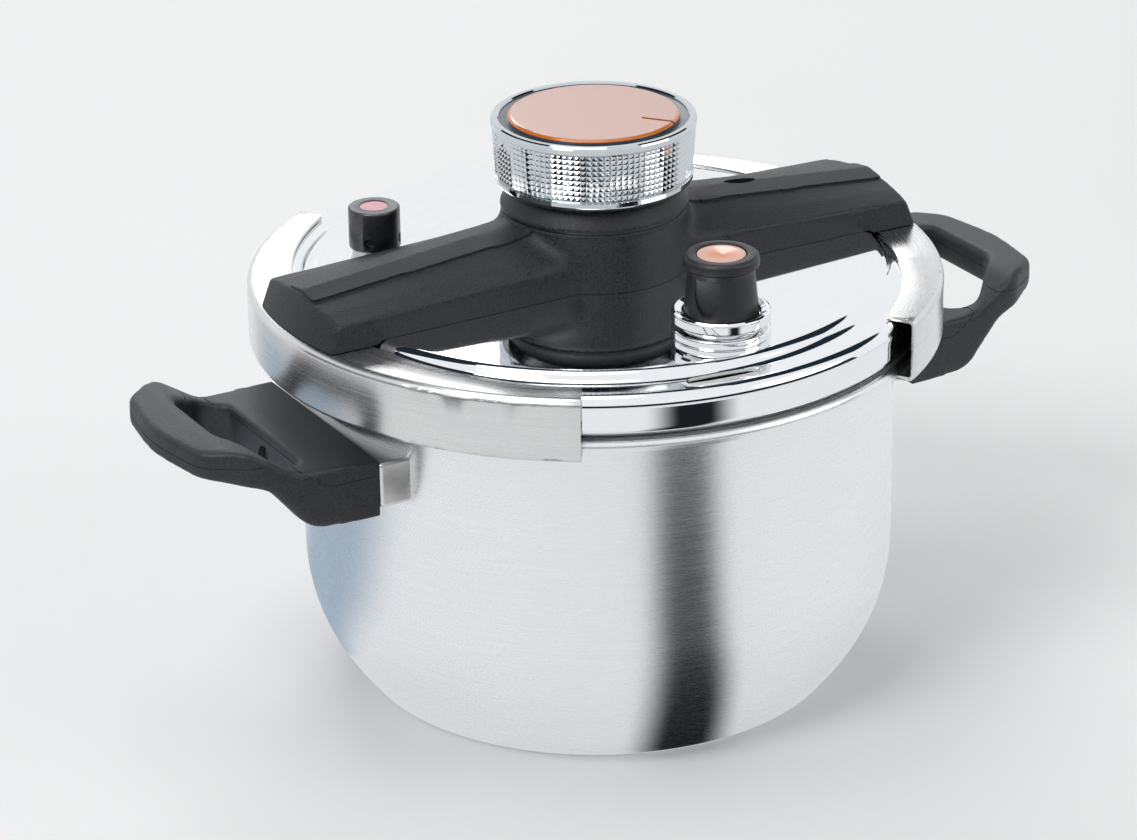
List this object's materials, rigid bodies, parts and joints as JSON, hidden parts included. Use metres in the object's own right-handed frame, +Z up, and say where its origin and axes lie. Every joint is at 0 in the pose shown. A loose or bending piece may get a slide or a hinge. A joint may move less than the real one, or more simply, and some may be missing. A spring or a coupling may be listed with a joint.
{
  "type": "stovetop pressure cooker",
  "caption": "Stovetop pressure cooker: rounded steel pot with side handles, lid clamped by sliding jaws that a knurled knob on a cross beam drives, with pressure and safety valves.",
  "frame": {"origin": "centre of the pot's base, on the surface it stands on", "axes": "+Z up along the pot's axis, +X along the beam to the right jaw and right handle"},
  "size_m": [0.3666, 0.2486, 0.2196],
  "materials": {
    "pot_steel": "satin, fine vertical brushing",
    "jaw_steel": "brushed along the sheet",
    "lid_steel": "mirror polished",
    "plain_steel": "plain",
    "aluminium_core": "plain",
    "handle_plastic": "fine matte grain",
    "beam_plastic": "fine spark texture",
    "knob_chrome": "polished, knurled",
    "knob_grey": "satin",
    "copper_disc": "glossy copper-orange",
    "valve_plastic": "satin",
    "gunmetal": "satin dark metallic",
    "red_disc": "glossy",
    "silicone": "matte",
    "nylon": "plain"
  },
  "bodies": {
    "pot": {"pot_body": "pot_steel", "base_cap": "pot_steel", "base_core": "aluminium_core", "bracket_right": "jaw_steel", "bracket_left": "jaw_steel", "handle_right": "handle_plastic", "handle_left": "handle_plastic", "handle_screws": "plain_steel"},
    "lid": {"lid_shell": "lid_steel", "gasket": "silicone", "guide_rail": "plain_steel", "glide_pads": "nylon", "guide_studs": "plain_steel", "pivot_post": "plain_steel", "post_nut": "plain_steel", "thrust_washer": "plain_steel", "beam_cover": "beam_plastic", "hub_bush": "nylon", "hub_collar": "knob_grey", "cover_screws": "plain_steel", "screw_seals": "silicone", "vent_base": "lid_steel", "vent_pipe": "plain_steel", "vent_nut": "plain_steel", "vent_seal": "silicone", "vent_filter": "plain_steel", "safety_base": "plain_steel", "safety_nut": "plain_steel", "safety_seal": "silicone", "safety_spring": "plain_steel", "safety_cap": "gunmetal", "safety_disc": "red_disc", "float_housing": "plain_steel", "float_nut": "plain_steel", "float_seal": "silicone"},
    "knob": {"knob_ring": "knob_chrome", "knob_core": "knob_grey", "knob_disc": "copper_disc", "drive_spindle": "plain_steel", "cam_disc": "plain_steel"},
    "jaw_right": {"jaw_right": "jaw_steel", "arm_right": "plain_steel", "rivets_right": "plain_steel", "cam_pin_right": "plain_steel"},
    "jaw_left": {"jaw_left": "jaw_steel", "arm_left": "plain_steel", "rivets_left": "plain_steel", "cam_pin_left": "plain_steel"},
    "weight": {"valve_weight": "plain_steel"},
    "valve_cap": {"valve_ring": "lid_steel", "valve_cap": "valve_plastic", "valve_disc": "copper_disc"},
    "safety_poppet": {"safety_poppet": "plain_steel"},
    "float_pin": {"float_pin": "plain_steel"}
  },
  "joints": [
    {"name": "lid_lift", "type": "slide", "parent": "pot", "child": "lid", "axis": [0, 0, 1], "range_m": [0, 0.18]},
    {"name": "knob_turn", "type": "hinge", "parent": "lid", "child": "knob", "pos_m": [0, 0, 0.2], "axis": [0, 0, 1], "range_deg": [0, 90]},
    {"name": "jaw_right_slide", "type": "slide", "parent": "lid", "child": "jaw_right", "axis": [1, 0, 0], "range_m": [0, 0.013]},
    {"name": "jaw_left_slide", "type": "slide", "parent": "lid", "child": "jaw_left", "axis": [-1, 0, 0], "range_m": [0, 0.013]},
    {"name": "valve_lift", "type": "slide", "parent": "lid", "child": "weight", "axis": [0, 0, 1], "range_m": [0, 0.004]},
    {"name": "valve_turn", "type": "hinge", "parent": "weight", "child": "valve_cap", "pos_m": [0.0027, -0.0849, 0.18], "axis": [0, 0, 1], "range_deg": [0, 90]},
    {"name": "safety_lift", "type": "slide", "parent": "lid", "child": "safety_poppet", "axis": [0, 0, 1], "range_m": [0, 0.003], "stiffness_N_per_m": 800, "springref_m": -0.004, "deforming": ["safety_spring"]},
    {"name": "float_lift", "type": "slide", "parent": "lid", "child": "float_pin", "axis": [0, 0, 1], "range_m": [0, 0.006]}
  ],
  "couplings": [
    {"joint": "jaw_right_slide", "follows": "knob_turn", "m_per_rad": 0.008276},
    {"joint": "jaw_left_slide", "follows": "knob_turn", "m_per_rad": 0.008276}
  ]
}
